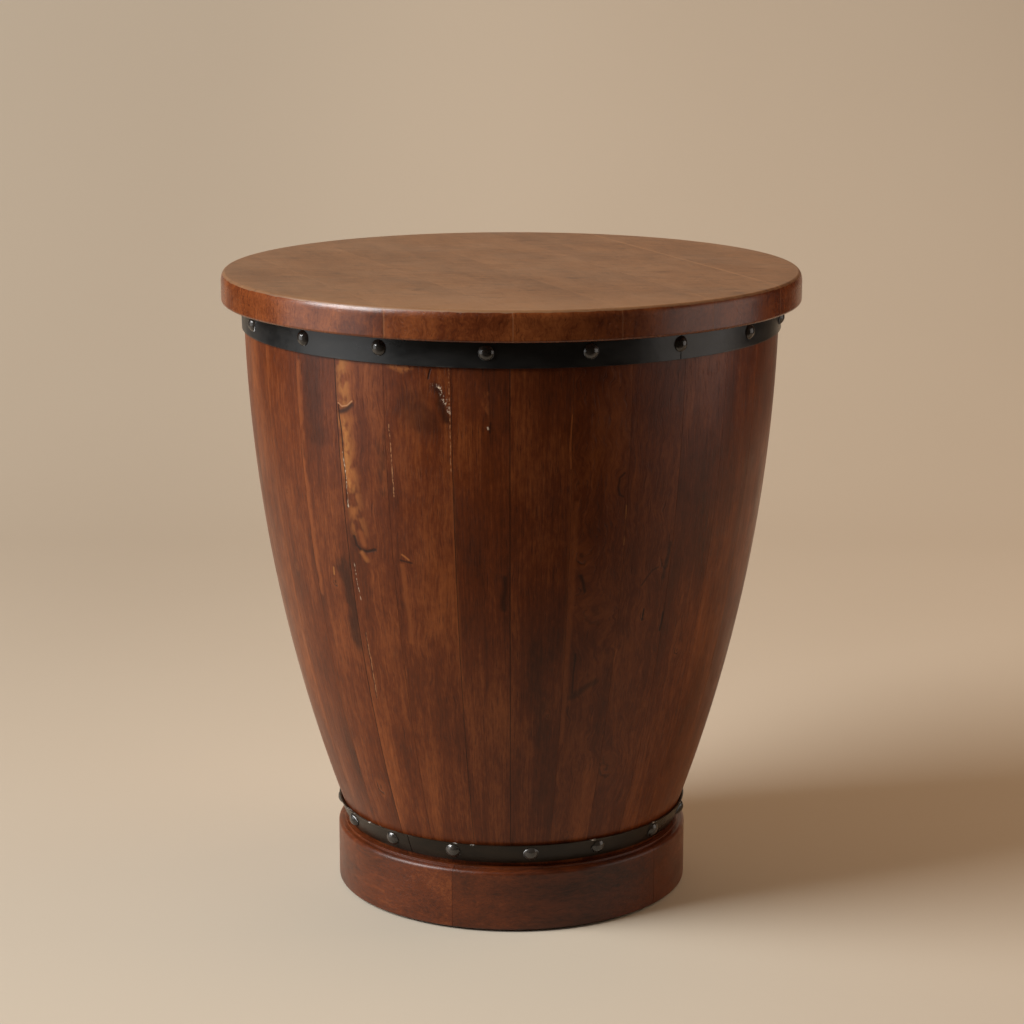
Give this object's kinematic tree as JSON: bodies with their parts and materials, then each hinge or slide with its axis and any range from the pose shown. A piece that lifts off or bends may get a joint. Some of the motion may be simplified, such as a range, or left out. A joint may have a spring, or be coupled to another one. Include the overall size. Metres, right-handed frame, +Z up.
{
  "type": "barrel side table",
  "caption": "Round side table with a plank top on a tapered coopered barrel body bound by two nailed iron hoops, standing on a low wooden ring plinth.",
  "frame": {"origin": "on the floor under the middle of the table, at the glides' faces", "axes": "+Z up, front of the table (the side that the picture shows) faces -Y, +X to its right"},
  "size_m": [0.508, 0.508, 0.558],
  "materials": {
    "top_wood": "matte tan-brown waxed planks with darker red-brown rim",
    "stave_wood": "satin red-brown stained hardwood staves, tone varies from stave to stave",
    "plinth_wood": "satin dark red-brown stained hardwood",
    "raw_wood": "plain planed wood, unstained",
    "dowel_wood": "plain fluted beech rod",
    "hoop_iron": "blackened iron strap with a low satin sheen and worn edges",
    "nail_iron": "glossy black domed nail heads",
    "screw_steel": "zinc plated screws",
    "glide_nylon": "black nylon"
  },
  "bodies": {
    "root": {"stave_01": "stave_wood", "stave_02": "stave_wood", "stave_03": "stave_wood", "stave_04": "stave_wood", "stave_05": "stave_wood", "stave_06": "stave_wood", "stave_07": "stave_wood", "stave_08": "stave_wood", "stave_09": "stave_wood", "stave_10": "stave_wood", "stave_11": "stave_wood", "stave_12": "stave_wood", "stave_13": "stave_wood", "stave_14": "stave_wood", "stave_15": "stave_wood", "stave_16": "stave_wood", "stave_17": "stave_wood", "stave_18": "stave_wood", "stave_19": "stave_wood", "stave_20": "stave_wood", "stave_21": "stave_wood", "stave_22": "stave_wood", "stave_23": "stave_wood", "stave_24": "stave_wood", "stave_25": "stave_wood", "stave_26": "stave_wood", "stave_27": "stave_wood", "stave_28": "stave_wood", "stave_29": "stave_wood", "top_plank_1": "top_wood", "top_plank_2": "top_wood", "top_plank_3": "top_wood", "top_plank_4": "top_wood", "top_plank_5": "top_wood", "top_plank_6": "top_wood", "plinth_segment_1": "plinth_wood", "plinth_segment_2": "plinth_wood", "plinth_segment_3": "plinth_wood", "plinth_segment_4": "plinth_wood", "plinth_segment_5": "plinth_wood", "head_board_1": "raw_wood", "head_board_2": "raw_wood", "head_board_3": "raw_wood", "top_ring": "raw_wood", "plinth_dowels": "dowel_wood", "upper_hoop": "hoop_iron", "lower_hoop": "hoop_iron", "upper_nails": "nail_iron", "lower_nails": "nail_iron", "top_screws": "screw_steel", "plinth_screws": "screw_steel", "floor_glides": "glide_nylon"}
  },
  "joints": []
}
